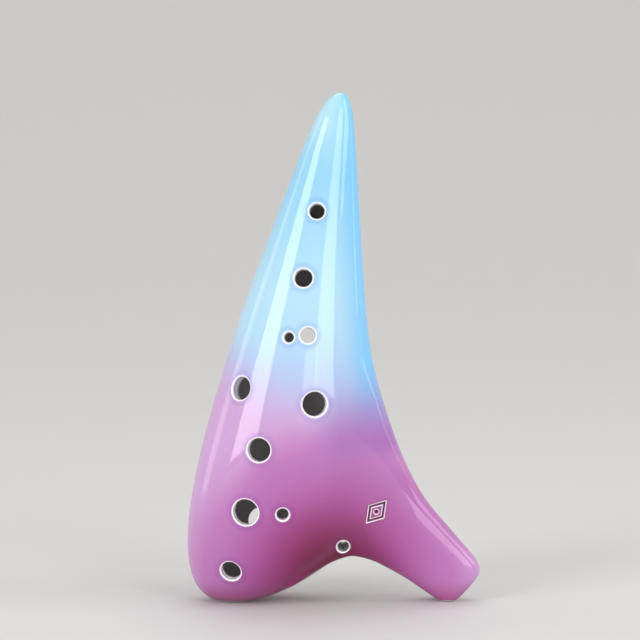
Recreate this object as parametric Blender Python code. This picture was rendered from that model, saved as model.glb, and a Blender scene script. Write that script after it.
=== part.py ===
"""A twelve-hole alto ocarina in glazed ceramic, standing on its bulb and on the tip of its beak.

Outside it is one smooth form: a body like a cone with a bulb at its foot, a beak that leaves the
body's lower right side, and a web in the crotch between them. Inside, the body is hollow. Eight
clay members make it up, shaped separately and luted together before firing: two shells, a four-piece
beak around the windway, the plate that carries the sounding edge, and the web that takes a neck cord.

Sizes are in millimetres until a mesh is made. X runs across, towards the beak, Y from the finger side
to the thumb side, and Z up. The beak has coordinates of its own in the XZ plane: "along" runs from
its tip into the body, and "across" towards its upper flank.
"""

import math

import bmesh
import bpy
import numpy as np
from mathutils import Matrix, Vector
from numpy.polynomial import Polynomial

MM = 0.001
JOINT_GAP = 0.3
WALL = 4.2
OUTER_MESH = 4.0
CHAMBER_MESH = 5.5
MESH_LOW, MESH_HIGH = (-60.0, -30.0, -8.0), (60.0, 30.0, 192.0)
SETTLING_STEPS = 4
HALVINGS = 40

# How far the cutters reach, always past the clay.
SIDE_REACH = 90.0
PAST_BEAK = 10.0
DEPTH_REACH = 40.0
HEIGHT_REACH = 200.0

# The body's sections: height, centre in X, half width and half depth.
BODY_SECTIONS = np.array([
    (181, 1.8, 4.7, 4.5),
    (170, 0.2, 8.3, 7.9),
    (156, -2.7, 11.8, 11.3),
    (140, -5.2, 15.1, 14.5),
    (120, -8.0, 19.5, 18.3),
    (100, -10.6, 23.9, 21.6),
    (80, -13.35, 27.9, 24.0),
    (60, -15.8, 31.0, 24.8),
    (46, -17.0, 32.5, 24.5),
    (34, -19.4, 32.4, 23.1),
    (22, -23.4, 29.4, 20.4),
    (12, -28.4, 23.8, 16.5),
    (5, -31.8, 16.9, 12.0),
])
BODY_TOP = 185.0
BODY_BOTTOM = -0.6  # the bulb's curve would end here, and the foot at Z = 0 cuts it flat
BODY_MARGIN = 15.0  # how far past both ends the curves are followed
BODY_SOFTNESS = 4.0

# The beak: a tube with a flattened, slightly squared section that widens towards the body. It deepens
# less on the finger side than on the thumb side, where the windway rises to the window.
BEAK_TIP = (49.4, 4.3)
BEAK_ANGLE = math.radians(42)
BEAK_HALF_WIDTH = 9.7
BEAK_WIDENING = 0.125
BEAK_HALF_DEPTH = 5.6
BEAK_DEEPENING = (0.09, 0.13)
BEAK_GROWS_FROM = -5.0
BEAK_OFFSET = 0.2
BEAK_SQUARENESS = 3.0
BEAK_END_ROUND = 9.0
BEAK_REACH = 59.4
FILLET_ABOVE_BEAK = 44.5
FILLET_BELOW_BEAK = 26.0
FILLET_TURN = (-4.0, 20.0)
FILLET_THINNING = 0.9
FILLET_DEPTH = 22.0

# The web: its lower edge is a hyperbola over the crotch, falling away to either side. It is thickest above
# that edge on the left, and sinks into the beak on the right.
WEB_CROWN = (8.3, 17.4)
WEB_SLOPES = (0.80, 0.72)
WEB_STEEPNESS = 1.14
WEB_CURVE = 9.7
WEB_HALF_EDGE = 8.7
WEB_THICKENING = 0.5
WEB_THICKENED = 7.0
WEB_LEAN = 0.15
WEB_TAPER = (7.0, 0.4)
WEB_END, WEB_END_TAPER = -14.0, 0.7
WEB_ROUND = 4.0
WEB_REACH = ((6.0, 14.0), 27.0)
WEB_FADE = 10.0
WEB_CREASES = (0.6, 8.0)
WEB_CREASE_TURN = (2.0, 14.0)

# Where the members meet: the shells and the beak at this length along it, and the web in a notch.
JOINT_ALONG = 47.4
NOTCH_ACROSS = -14.0
NOTCH_LEFT = (-16.0, -19.0)
NOTCH_RIGHT = (14.0, -12.0)
NOTCH_WALL = 2.6
NOTCH_LEFT_RUNS, NOTCH_RIGHT_RUNS = 1.5, 3.0

# Windway, window and sounding edge, along the beak and in depth.
WINDWAY_WIDTH_IN, WINDWAY_WIDTH_OUT = 11.0, 10.0
WINDWAY_FLOOR_IN, WINDWAY_FLOOR_OUT = -0.6, 9.1
WINDWAY_HEIGHT_IN, WINDWAY_HEIGHT_OUT = 2.2, 1.4
WINDOW_LENGTH = 6.0
WINDOW_FLOOR = 4.0
EDGE_DEPTH = 11.1
EDGE_THICKNESS = 0.4
PLATE_LENGTH = 12.0
PLATE_WIDTH = 13.4
PLATE_END_DEPTH = 16.2
PLATE_HEEL = (2.5, 0.8)
RAMP_SLOPE = 1.0

# Tone holes, from the tip down: X, Z and diameter. Each is drilled square to the surface.
FINGER_HOLES = [
    (-5.5, 143.0, 5.4),
    (-10.3, 119.5, 6.3),
    (-8.6, 99.3, 5.3),
    (-15.5, 98.6, 3.5),
    (-32.8, 80.0, 8.2),
    (-6.1, 75.0, 8.6),
    (-26.2, 58.6, 8.3),
    (-31.0, 36.0, 9.2),
    (-17.6, 35.4, 4.3),
    (-36.5, 13.6, 7.2),
]
THUMB_HOLES = [(-8.3, 95.6, 9.5), (-26.2, 25.8, 10.0)]
HOLE_REACH = 9.0
HOLE_SIDES, SMALL_HOLE_SIDES = 20, 14
SMALL_HOLE = 5.0
STRAP_HOLE = (4.0, 21.8, 4.1)
STRAP_REACH = 18.0

GLAZE_BLUE = (0.42, 0.72, 0.90)
GLAZE_LILAC = (0.55, 0.38, 0.68)
GLAZE_PURPLE = (0.50, 0.14, 0.42)
GLAZE_ROUGHNESS = 0.08


# ---------------------------------------------------------------- the form, as fields
# A field is negative inside its shape, zero on its surface and about the distance in mm outside it.


def smooth_max(a, b, reach):
    blend = np.maximum(reach - np.abs(a - b), 0) / reach
    return np.maximum(a, b) + blend**3 * reach / 6


def smooth_min(a, b, reach):
    return -smooth_max(-a, -b, reach)


def ease(start, end, value):
    t = np.clip((value - start) / (end - start), 0, 1)
    return t**3 * (t * (6 * t - 15) + 10)


def beak_coordinates(x, z):
    dx, dz = x - BEAK_TIP[0], z - BEAK_TIP[1]
    cosine, sine = math.cos(BEAK_ANGLE), math.sin(BEAK_ANGLE)
    return dz * sine - dx * cosine, dx * sine + dz * cosine


def beak_point(along, across):
    """X and Z of a point given in the beak's coordinates."""
    cosine, sine = math.cos(BEAK_ANGLE), math.sin(BEAK_ANGLE)
    return (
        BEAK_TIP[0] - along * cosine + across * sine,
        BEAK_TIP[1] + along * sine + across * cosine,
    )


def fair_body():
    """Smooth curves of height through the body's sections: size, centre and roundness."""
    height, centre, width, depth = BODY_SECTIONS.T
    ends = (BODY_TOP - height) * (height - BODY_BOTTOM)
    return (
        Polynomial.fit(height, np.log(width**2 / ends), 6),
        Polynomial.fit(height, centre, 6),
        Polynomial.fit(height, depth / width, 4),
    )


BODY_SIZE, BODY_CENTRE, BODY_ROUNDNESS = fair_body()


def body_field(x, y, z):
    height = np.clip(z, BODY_BOTTOM - BODY_MARGIN, BODY_TOP + BODY_MARGIN)
    width_squared = (BODY_TOP - z) * (z - BODY_BOTTOM) * np.exp(BODY_SIZE(height))
    from_axis = (x - BODY_CENTRE(height)) ** 2 + (y / BODY_ROUNDNESS(height)) ** 2
    steepness = 2 * np.sqrt(np.maximum(width_squared, 0) + BODY_SOFTNESS**2)
    return (from_axis - width_squared) / steepness


def beak_field(x, y, z):
    along, across = beak_coordinates(x, z)
    grown = np.maximum(along, BEAK_GROWS_FROM)
    half_width = BEAK_HALF_WIDTH + BEAK_WIDENING * grown
    half_depth = BEAK_HALF_DEPTH + np.where(y < 0, *BEAK_DEEPENING) * grown
    power = BEAK_SQUARENESS
    ring = np.abs((across - BEAK_OFFSET) / half_width) ** power + np.abs(y / half_depth) ** power
    tube = (ring ** (1 / power) - 1) * half_width
    ended = smooth_max(tube, -along, BEAK_END_ROUND)
    return smooth_max(ended, along - BEAK_REACH, BEAK_END_ROUND)


def vessel_field(x, y, z):
    """The body and the beak, with a large fillet above the beak and a tight one below."""
    upper = ease(*FILLET_TURN, beak_coordinates(x, z)[1])
    fillet = FILLET_BELOW_BEAK + (FILLET_ABOVE_BEAK - FILLET_BELOW_BEAK) * upper
    fillet = fillet * (1 - FILLET_THINNING * np.clip(np.abs(y) / FILLET_DEPTH, 0, 1) ** 2)
    return smooth_min(body_field(x, y, z), beak_field(x, y, z), fillet)


def web_field(x, y, z):
    crown_x, crown_z = WEB_CROWN
    fall = np.where(x < crown_x, *WEB_SLOPES) * (x - crown_x)
    edge = crown_z + WEB_CURVE - np.sqrt(fall**2 + WEB_CURVE**2)
    above = (z - edge) / WEB_STEEPNESS
    half = WEB_HALF_EDGE + WEB_THICKENING * smooth_min(above, WEB_THICKENED, 4.0)
    taper_from, taper = WEB_TAPER
    half = half - WEB_LEAN * (x - crown_x) - taper * smooth_max(x - taper_from, 0, 8.0)
    half = half - WEB_END_TAPER * smooth_max(WEB_END - x, 0, 8.0)
    (middle_x, middle_z), reach = WEB_REACH
    away = np.hypot(x - middle_x, z - middle_z) - reach
    return smooth_max(smooth_max(np.abs(y) - half, -above, WEB_ROUND), away, WEB_FADE)


def outer_field(x, y, z):
    sharp, soft = WEB_CREASES
    crease = sharp + (soft - sharp) * ease(*WEB_CREASE_TURN, x)
    return smooth_min(vessel_field(x, y, z), web_field(x, y, z), crease)


def notch_field(x, z):
    """Negative in the notch that the web fills, under the two lines from the notch's apex."""
    apex_x, apex_z = beak_point(JOINT_ALONG, NOTCH_ACROSS)
    sides = []
    for (run_x, run_z), turn in ((NOTCH_LEFT, 1), (NOTCH_RIGHT, -1)):
        length = math.hypot(run_x, run_z)
        sides.append(turn * ((x - apex_x) * run_z - (z - apex_z) * run_x) / length)
    return np.maximum(*sides)


def chamber_field(x, y, z):
    """The hollow: the body's own form inside its wall, and a throat that opens towards the window."""
    along = beak_coordinates(x, z)[0]
    throat = smooth_max(vessel_field(x, y, z) + WALL, JOINT_ALONG - 2 - along, 2.0)
    hollow = smooth_min(body_field(x, y, z) + WALL, throat, 2.0)
    return smooth_max(hollow, NOTCH_WALL - notch_field(x, z), 2.0)


def surface_depth(x, z, side):
    """The Y of the outer surface at X and Z, on the finger side (-1) or the thumb side (1)."""
    inside, outside = 0.0, DEPTH_REACH
    for _ in range(HALVINGS):
        middle = (inside + outside) / 2
        if outer_field(np.float64(x), side * middle, np.float64(z)) < 0:
            inside = middle
        else:
            outside = middle
    return side * inside


def slope_of(field, points, step=0.05):
    """The field's gradient at each point."""
    columns = []
    for axis in range(3):
        shift = np.zeros(3)
        shift[axis] = step
        ahead, behind = field(*(points + shift).T), field(*(points - shift).T)
        columns.append((ahead - behind) / (2 * step))
    return np.stack(columns, axis=1)


# ---------------------------------------------------------------- from fields to meshes


def surface_net(field, step):
    """Points and four-sided faces of the surface where the field is zero, one point per grid cube."""
    low = np.array(MESH_LOW)
    counts = np.ceil((MESH_HIGH - low) / step).astype(int) + 1
    grid = np.meshgrid(*[low[i] + step * np.arange(counts[i]) for i in range(3)], indexing="ij")
    value = field(*grid)
    strides = np.array([counts[1] * counts[2], counts[2], 1])
    total = np.zeros((counts.prod(), 3))
    crossings = np.zeros(counts.prod())
    faces = []
    for axis in range(3):
        start = [slice(None)] * 3
        start[axis] = slice(0, -1)
        end = [slice(None)] * 3
        end[axis] = slice(1, None)
        first, second = value[tuple(start)], value[tuple(end)]
        where = np.argwhere((first < 0) != (second < 0))
        before, after = first[tuple(where.T)], second[tuple(where.T)]
        point = low + step * where
        point[:, axis] += step * before / (before - after)
        cell = where @ strides
        u, v = strides[(axis + 1) % 3], strides[(axis + 2) % 3]
        around = np.stack([cell - u - v, cell - v, cell, cell - u], axis=1)
        for corner in around.T:
            np.add.at(total, corner, point)
            np.add.at(crossings, corner, 1)
        faces.append(np.where((before < 0)[:, None], around, around[:, ::-1]))
    used = np.flatnonzero(crossings)
    number = np.full(counts.prod(), -1)
    number[used] = np.arange(len(used))
    points = total[used] / crossings[used, None]
    for _ in range(SETTLING_STEPS):
        gradient = slope_of(field, points)
        steepness = np.maximum((gradient**2).sum(axis=1), 0.05)
        move = field(*points.T)[:, None] * gradient / steepness[:, None]
        points -= np.clip(move, -step / 2, step / 2)
    return points, number[np.concatenate(faces)]


def add_mesh(name, points, faces):
    """An object with this mesh, given in millimetres."""
    mesh = bpy.data.meshes.new(name)
    mesh.from_pydata((np.asarray(points) * MM).tolist(), [], [list(map(int, face)) for face in faces])
    build = bmesh.new()
    build.from_mesh(mesh)
    bmesh.ops.recalc_face_normals(build, faces=build.faces)
    bmesh.ops.triangulate(build, faces=build.faces)
    build.to_mesh(mesh)
    build.free()
    piece = bpy.data.objects.new(name, mesh)
    bpy.context.scene.collection.objects.link(piece)
    return piece


def add_prism(name, outline, place):
    """A prism on a flat outline. place gives the point at each end of an edge of it."""
    ends = [[place(u, v, end) for u, v in outline] for end in (0, 1)]
    count = len(outline)
    sides = [(i, (i + 1) % count, (i + 1) % count + count, i + count) for i in range(count)]
    caps = [tuple(range(count))[::-1], tuple(range(count, 2 * count))]
    return add_mesh(name, ends[0] + ends[1], sides + caps)


def as_cutter(piece):
    piece.hide_render = True
    piece.display_type = "WIRE"
    return piece


def plan_cutter(name, outline, depths=(-DEPTH_REACH, DEPTH_REACH)):
    """A cutter on an outline in X and Z, between two depths."""
    return as_cutter(add_prism(name, outline, lambda x, z, end: (x, depths[end], z)))


def beak_cutter(name, outline, depths=(-DEPTH_REACH, DEPTH_REACH)):
    """A cutter on an outline along and across the beak, between two depths."""

    def place(along, across, end):
        x, z = beak_point(along, across)
        return x, depths[end], z

    return as_cutter(add_prism(name, outline, place))


def profile_cutter(name, outline, across):
    """A cutter on an outline along the beak and in depth, between two places across it."""

    def place(along, depth, end):
        x, z = beak_point(along, across[end])
        return x, depth, z

    return as_cutter(add_prism(name, outline, place))


def shape(piece, operation, cutter):
    modifier = piece.modifiers.new(f"{operation.lower()} {cutter.name}", "BOOLEAN")
    modifier.operation = operation
    modifier.solver = "EXACT"
    modifier.object = cutter


def grown(outline, margin):
    """A convex outline with each side moved outwards."""
    area = sum(a[0] * b[1] - b[0] * a[1] for a, b in zip(outline, outline[1:] + outline[:1]))
    turn = math.copysign(margin, area)
    lines = []
    for (ax, az), (bx, bz) in zip(outline, outline[1:] + outline[:1]):
        length = math.hypot(bx - ax, bz - az)
        normal = ((bz - az) * turn / length, (ax - bx) * turn / length)
        lines.append(((ax + normal[0], az + normal[1]), (bx - ax, bz - az)))
    corners = []
    for (p, r), (q, s) in zip(lines[-1:] + lines[:-1], lines):
        share = ((q[0] - p[0]) * s[1] - (q[1] - p[1]) * s[0]) / (r[0] * s[1] - r[1] * s[0])
        corners.append((p[0] + share * r[0], p[1] + share * r[1]))
    return corners


# ---------------------------------------------------------------- cutters


def joint_outlines():
    """The beak's region and the web's, in X and Z. They share the line down the notch's right side."""
    apex = beak_point(JOINT_ALONG, NOTCH_ACROSS)
    above = beak_point(JOINT_ALONG, DEPTH_REACH)
    left = (apex[0] + NOTCH_LEFT_RUNS * NOTCH_LEFT[0], apex[1] + NOTCH_LEFT_RUNS * NOTCH_LEFT[1])
    right = (apex[0] + NOTCH_RIGHT_RUNS * NOTCH_RIGHT[0], apex[1] + NOTCH_RIGHT_RUNS * NOTCH_RIGHT[1])
    beak = [apex, above, (SIDE_REACH, above[1]), (SIDE_REACH, right[1]), right]
    web = [apex, left, (left[0], right[1]), right]
    return beak, web


def above_ground():
    """An outline over everything that stands on the ground, in X and Z."""
    return [(-SIDE_REACH, 0), (SIDE_REACH, 0), (SIDE_REACH, HEIGHT_REACH), (-SIDE_REACH, HEIGHT_REACH)]


def drill(name, holes, reach=HOLE_REACH):
    """One cutter with a cylinder for each hole, along its given axis."""
    build = bmesh.new()
    for centre, axis, diameter in holes:
        sides = HOLE_SIDES if diameter > SMALL_HOLE else SMALL_HOLE_SIDES
        turn = axis.to_track_quat("Z", "Y").to_matrix().to_4x4()
        bmesh.ops.create_cone(
            build,
            cap_ends=True,
            segments=sides,
            radius1=diameter / 2 * MM,
            radius2=diameter / 2 * MM,
            depth=2 * reach * MM,
            matrix=Matrix.Translation(centre * MM) @ turn,
        )
    mesh = bpy.data.meshes.new(name)
    build.to_mesh(mesh)
    build.free()
    piece = bpy.data.objects.new(name, mesh)
    bpy.context.scene.collection.objects.link(piece)
    return as_cutter(piece)


def tone_holes(name, table, side):
    holes = []
    for x, z, diameter in table:
        centre = np.array([[x, surface_depth(x, z, side), z]])
        axis = Vector(slope_of(outer_field, centre)[0]).normalized()
        holes.append((Vector(centre[0]), axis, diameter))
    return drill(name, holes)


def windway_floor(along):
    share = along / JOINT_ALONG
    return WINDWAY_FLOOR_IN + (WINDWAY_FLOOR_OUT - WINDWAY_FLOOR_IN) * share


def windway_roof(along):
    share = along / JOINT_ALONG
    height = WINDWAY_HEIGHT_IN + (WINDWAY_HEIGHT_OUT - WINDWAY_HEIGHT_IN) * share
    return windway_floor(along) + height


def windway_half_width(along):
    share = along / JOINT_ALONG
    return (WINDWAY_WIDTH_IN + (WINDWAY_WIDTH_OUT - WINDWAY_WIDTH_IN) * share) / 2


# ---------------------------------------------------------------- materials


def glaze(name, colour):
    material = bpy.data.materials.new(name)
    material.use_nodes = True
    shader = material.node_tree.nodes["Principled BSDF"]
    shader.inputs["Base Color"].default_value = (*colour, 1)
    shader.inputs["Roughness"].default_value = GLAZE_ROUGHNESS
    shader.inputs["Metallic"].default_value = 0
    return material


# ---------------------------------------------------------------- the members


def member(name, form, material):
    """A new piece that starts as the whole outer form."""
    piece = bpy.data.objects.new(name, form.data.copy())
    piece.data.materials.append(material)
    bpy.context.scene.collection.objects.link(piece)
    return piece


def make_shells(form, chamber, beak_zone, web_zone):
    """The finger-side and thumb-side halves of the body, each open at the windway's joint."""
    half = JOINT_GAP / 2
    beak_cut = plan_cutter("beak_joint_cutter", grown(beak_zone, JOINT_GAP))
    web_cut = plan_cutter("web_notch_cutter", grown(web_zone, JOINT_GAP))
    sides = {
        "front_shell": ((-DEPTH_REACH, -half), tone_holes("finger_hole_drill", FINGER_HOLES, -1), GLAZE_BLUE),
        "back_shell": ((half, DEPTH_REACH), tone_holes("thumb_hole_drill", THUMB_HOLES, 1), GLAZE_LILAC),
    }
    shells = {}
    for name, (depths, drills, colour) in sides.items():
        shell = member(name, form, glaze(name + "_glaze", colour))
        room = plan_cutter(name + "_half", above_ground(), depths)
        shape(shell, "INTERSECT", room)
        for cutter in (beak_cut, web_cut, chamber, drills):
            shape(shell, "DIFFERENCE", cutter)
        shells[name] = shell
    return shells


def make_beak(form, beak_zone, web_zone):
    """The beak's floor and roof, and the two strips between them that wall the windway in."""
    zone = plan_cutter("beak_zone", beak_zone)
    ground = plan_cutter("ground", above_ground())
    web_cut = plan_cutter("web_side_cutter", grown(web_zone, JOINT_GAP))
    near, far = -PAST_BEAK, JOINT_ALONG + PAST_BEAK
    floors = [(near, windway_floor(near)), (far, windway_floor(far))]
    roofs = [(far, windway_roof(far)), (near, windway_roof(near))]
    under = [(far, -DEPTH_REACH), (near, -DEPTH_REACH)]
    over = [(near, DEPTH_REACH), (far, DEPTH_REACH)]
    raised = [(along, depth + JOINT_GAP) for along, depth in floors]
    lowered = [(along, depth - JOINT_GAP) for along, depth in roofs]
    layers = {
        "beak_floor": (floors + under, GLAZE_PURPLE),
        "beak_roof": (roofs + over, GLAZE_PURPLE),
        "windway_wall_upper": (raised + lowered, GLAZE_LILAC),
        "windway_wall_lower": (raised + lowered, GLAZE_LILAC),
    }
    widths = [(along, windway_half_width(along)) for along in (near, far)]
    upper = widths + over[::-1]
    lower = [(along, -half) for along, half in widths] + under
    strips = {"windway_wall_upper": upper, "windway_wall_lower": lower}
    for name, (outline, colour) in layers.items():
        piece = member(name, form, glaze(name + "_glaze", colour))
        shape(piece, "INTERSECT", zone)
        shape(piece, "INTERSECT", ground)
        shape(piece, "DIFFERENCE", web_cut)
        layer = profile_cutter(name + "_layer", outline, (-DEPTH_REACH, DEPTH_REACH))
        shape(piece, "INTERSECT", layer)
        if name in strips:
            shape(piece, "INTERSECT", beak_cutter(name + "_strip", strips[name]))


def make_sounding_edge(form, back_shell):
    """The window in the thumb-side shell, and the plate beyond it whose edge splits the air."""
    start, edge = JOINT_ALONG, JOINT_ALONG + WINDOW_LENGTH
    end = edge + PLATE_LENGTH
    window, seat = WINDWAY_WIDTH_OUT / 2, PLATE_WIDTH / 2 + JOINT_GAP
    outline = [(start, -window), (edge, -window), (edge, -seat), (end + JOINT_GAP, -seat)]
    outline += [(along, -across) for along, across in outline[::-1]]
    shape(back_shell, "DIFFERENCE", beak_cutter("window_cutter", outline, (WINDOW_FLOOR, DEPTH_REACH)))

    heel_length, heel_rise = PLATE_HEEL
    profile = [
        (edge, EDGE_DEPTH),
        (end, EDGE_DEPTH + RAMP_SLOPE * PLATE_LENGTH),
        (end, PLATE_END_DEPTH),
        (edge + heel_length, EDGE_DEPTH - EDGE_THICKNESS + heel_rise),
        (edge, EDGE_DEPTH - EDGE_THICKNESS),
    ]
    plate = member("labium_plate", form, glaze("labium_plate_glaze", GLAZE_PURPLE))
    half = PLATE_WIDTH / 2
    shape(plate, "INTERSECT", profile_cutter("plate_profile", profile, (-half, half)))
    return plate


def make_web(form, web_zone):
    """The web in the crotch, with the hole for a neck cord through it."""
    web = member("cord_web", form, glaze("cord_web_glaze", GLAZE_PURPLE))
    shape(web, "INTERSECT", plan_cutter("web_zone", web_zone))
    x, z, diameter = STRAP_HOLE
    bore = [(Vector((x, 0, z)), Vector((0, 1, 0)), diameter)]
    shape(web, "DIFFERENCE", drill("strap_drill", bore, STRAP_REACH))
    return web


def main():
    for leftover in list(bpy.data.objects):
        bpy.data.objects.remove(leftover)
    form = as_cutter(add_mesh("outer_form", *surface_net(outer_field, OUTER_MESH)))
    chamber = as_cutter(add_mesh("chamber", *surface_net(chamber_field, CHAMBER_MESH)))
    beak_zone, web_zone = joint_outlines()
    shells = make_shells(form, chamber, beak_zone, web_zone)
    make_beak(form, beak_zone, web_zone)
    make_sounding_edge(form, shells["back_shell"])
    make_web(form, web_zone)


main()
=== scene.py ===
"""The looks of a glazed ceramic ocarina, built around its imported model.

The clay is described by fields, as in the model's own source: a field is negative inside its shape,
zero on its surface and about the distance in millimetres outside it. Here it carries what the model
leaves out: rolled rims on the holes, a plain stamp, and rounded edges at the windway. One fine mesh of
it is cut along the joints into the eight members, so that the glaze runs over the seams unbroken.

X runs across, towards the beak, Y from the finger side to the thumb side, and Z up. The beak has
coordinates of its own in the XZ plane: "along" runs from its tip into the body, and "across" towards
its upper flank.
"""

import math

import bmesh
import bpy
import numpy as np
from numpy.polynomial import Polynomial
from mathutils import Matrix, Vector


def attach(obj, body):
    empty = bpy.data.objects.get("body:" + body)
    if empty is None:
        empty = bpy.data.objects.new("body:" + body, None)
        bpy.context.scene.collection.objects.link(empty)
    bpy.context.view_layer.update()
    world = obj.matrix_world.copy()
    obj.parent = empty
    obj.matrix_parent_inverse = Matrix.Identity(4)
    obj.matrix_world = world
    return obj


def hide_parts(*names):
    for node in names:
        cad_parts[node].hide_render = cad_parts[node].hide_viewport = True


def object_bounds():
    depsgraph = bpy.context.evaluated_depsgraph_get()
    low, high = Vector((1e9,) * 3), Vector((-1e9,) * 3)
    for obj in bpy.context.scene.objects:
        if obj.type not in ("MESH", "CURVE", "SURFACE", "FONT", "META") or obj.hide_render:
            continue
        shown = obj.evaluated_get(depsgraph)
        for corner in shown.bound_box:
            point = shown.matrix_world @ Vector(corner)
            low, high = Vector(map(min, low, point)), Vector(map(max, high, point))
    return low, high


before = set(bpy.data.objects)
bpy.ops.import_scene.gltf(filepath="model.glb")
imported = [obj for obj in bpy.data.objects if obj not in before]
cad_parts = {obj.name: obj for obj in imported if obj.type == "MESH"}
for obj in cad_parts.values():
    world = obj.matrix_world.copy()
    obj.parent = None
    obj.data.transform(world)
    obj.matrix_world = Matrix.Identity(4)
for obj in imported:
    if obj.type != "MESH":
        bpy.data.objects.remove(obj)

cad_low, cad_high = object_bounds()

MM = 0.001
WALL = 4.2
CHAMBER_ROUND = 2.0
DEPTH_REACH = 40.0
HALVINGS = 40

# The body's sections: height, centre in X, half width and half depth.
BODY_SECTIONS = np.array([
    (181, 1.8, 4.7, 4.5),
    (170, 0.2, 8.3, 7.9),
    (156, -2.7, 11.8, 11.3),
    (140, -5.2, 15.1, 14.5),
    (120, -8.0, 19.5, 18.3),
    (100, -10.6, 23.9, 21.6),
    (80, -13.35, 27.9, 24.0),
    (60, -15.8, 31.0, 24.8),
    (46, -17.0, 32.5, 24.5),
    (34, -19.4, 32.4, 23.1),
    (22, -23.4, 29.4, 20.4),
    (12, -28.4, 23.8, 16.5),
    (5, -31.8, 16.9, 12.0),
])
BODY_TOP = 185.0
BODY_BOTTOM = -0.6
BODY_MARGIN = 15.0
BODY_SOFTNESS = 4.0
FOOT_ROUND = 1.2

# The beak.
BEAK_TIP = (49.4, 4.3)
BEAK_ANGLE = math.radians(42)
BEAK_HALF_WIDTH = 9.7
BEAK_WIDENING = 0.125
BEAK_HALF_DEPTH = 5.6
BEAK_DEEPENING = (0.09, 0.13)
BEAK_GROWS_FROM = -5.0
BEAK_OFFSET = 0.2
BEAK_SQUARENESS = 3.0
BEAK_END_ROUND = 9.0
BEAK_REACH = 59.4
FILLET_ABOVE_BEAK = 44.5
FILLET_BELOW_BEAK = 26.0
FILLET_TURN = (-4.0, 20.0)
FILLET_THINNING = 0.9
FILLET_DEPTH = 22.0

# The web in the crotch.
WEB_CROWN = (8.3, 17.4)
WEB_SLOPES = (0.80, 0.72)
WEB_STEEPNESS = 1.14
WEB_CURVE = 9.7
WEB_HALF_EDGE = 8.7
WEB_THICKENING = 0.5
WEB_THICKENED = 7.0
WEB_THICKENING_EASE = 4.0
WEB_LEAN = 0.15
WEB_TAPER = (7.0, 0.4)
WEB_END, WEB_END_TAPER = -14.0, 0.7
WEB_TAPER_EASE = 8.0
WEB_ROUND = 4.0
WEB_REACH = ((6.0, 14.0), 27.0)
WEB_FADE = 10.0
WEB_CREASES = (0.6, 8.0)
WEB_CREASE_TURN = (2.0, 14.0)

# The joints between the members.
JOINT_ALONG = 47.4
NOTCH_ACROSS = -14.0
NOTCH_LEFT = (-16.0, -19.0)
NOTCH_RIGHT = (14.0, -12.0)
NOTCH_WALL = 2.6

# Windway, window and sounding edge.
WINDWAY_WIDTH_IN, WINDWAY_WIDTH_OUT = 11.0, 10.0
WINDWAY_FLOOR_IN, WINDWAY_FLOOR_OUT = -0.6, 9.1
WINDWAY_HEIGHT_IN, WINDWAY_HEIGHT_OUT = 2.2, 1.4
WINDWAY_OVERRUN = 1.0
WINDWAY_ROUND = 0.5
WINDOW_LENGTH = 6.0
WINDOW_FLOOR = 6.0
EDGE_DEPTH = 11.4
RAMP_SLOPE = 1.0
RAMP_LEAD = 0.1
PLATE_LENGTH = 12.0
PLATE_WIDTH = 13.4

# Tone holes, from the tip down: X, Z and diameter.
FINGER_HOLES = [
    (-5.5, 143.0, 5.4),
    (-10.3, 119.5, 6.3),
    (-8.6, 99.3, 5.3),
    (-15.5, 98.6, 3.5),
    (-32.8, 80.0, 8.2),
    (-6.1, 75.0, 8.6),
    (-26.2, 58.6, 8.3),
    (-31.0, 36.0, 9.2),
    (-17.6, 35.4, 4.3),
    (-36.5, 13.6, 7.2),
]
THUMB_HOLES = [(-8.3, 95.6, 9.5), (-26.2, 25.8, 10.0)]
HOLE_REACH = 9.0
STRAP_HOLE = (4.0, 21.8, 4.1)
STRAP_REACH = 20.0
RIM_ROUND = 1.5
EDGE_ROUND = 0.9

# The stamp on the finger side of the beak: a lozenge with a dot in it.
STAMP_ALONG = 45.0
STAMP_HALF_LENGTH = 4.4
STAMP_HALF_HEIGHT = 3.0
STAMP_DOT = 0.4
STAMP_STROKE = 0.42
STAMP_DEPTH = 0.5

# The mesh: its faces' size, the room round the clay, and where the faces are smaller. A rim's zone is
# so far outside the hole's wall, and so wide to either side of that.
MESH_STEP = 0.61
MESH_MARGIN = 3.0
FINE_RIM = (0.5, 1.5)
FINE_SLOT = 0.8
FINE_STAMP = 2.0
FINE_DEPTH = 3.0
SLIVER = 0.001

# The tools that cut it into members reach past the clay on every side.
TOOL_DEPTH = 60.0
TOOL_SIDE = 95.0
TOOL_HEIGHTS = (-20.0, 200.0)
TOOL_ACROSS = 70.0
TOOL_MARGIN = 10.0
JOINT_ABOVE = 32.0
NOTCH_RUNS = (1.5, 3.0)
PLATE_FROM = 4.0
PLATE_LEAD = 0.3


# ---------------------------------------------------------------- the clay, as fields


def smooth_max(a, b, reach):
    blend = np.maximum(reach - np.abs(a - b), 0) / reach
    return np.maximum(a, b) + blend**3 * reach / 6


def smooth_min(a, b, reach):
    return -smooth_max(-a, -b, reach)


def ease(start, end, value):
    t = np.clip((value - start) / (end - start), 0, 1)
    return t**3 * (t * (6 * t - 15) + 10)


def beak_coordinates(x, z):
    dx, dz = x - BEAK_TIP[0], z - BEAK_TIP[1]
    cosine, sine = math.cos(BEAK_ANGLE), math.sin(BEAK_ANGLE)
    return dz * sine - dx * cosine, dx * sine + dz * cosine


def beak_point(along, across):
    """X and Z of a point given in the beak's coordinates."""
    cosine, sine = math.cos(BEAK_ANGLE), math.sin(BEAK_ANGLE)
    return (
        BEAK_TIP[0] - along * cosine + across * sine,
        BEAK_TIP[1] + along * sine + across * cosine,
    )


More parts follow.
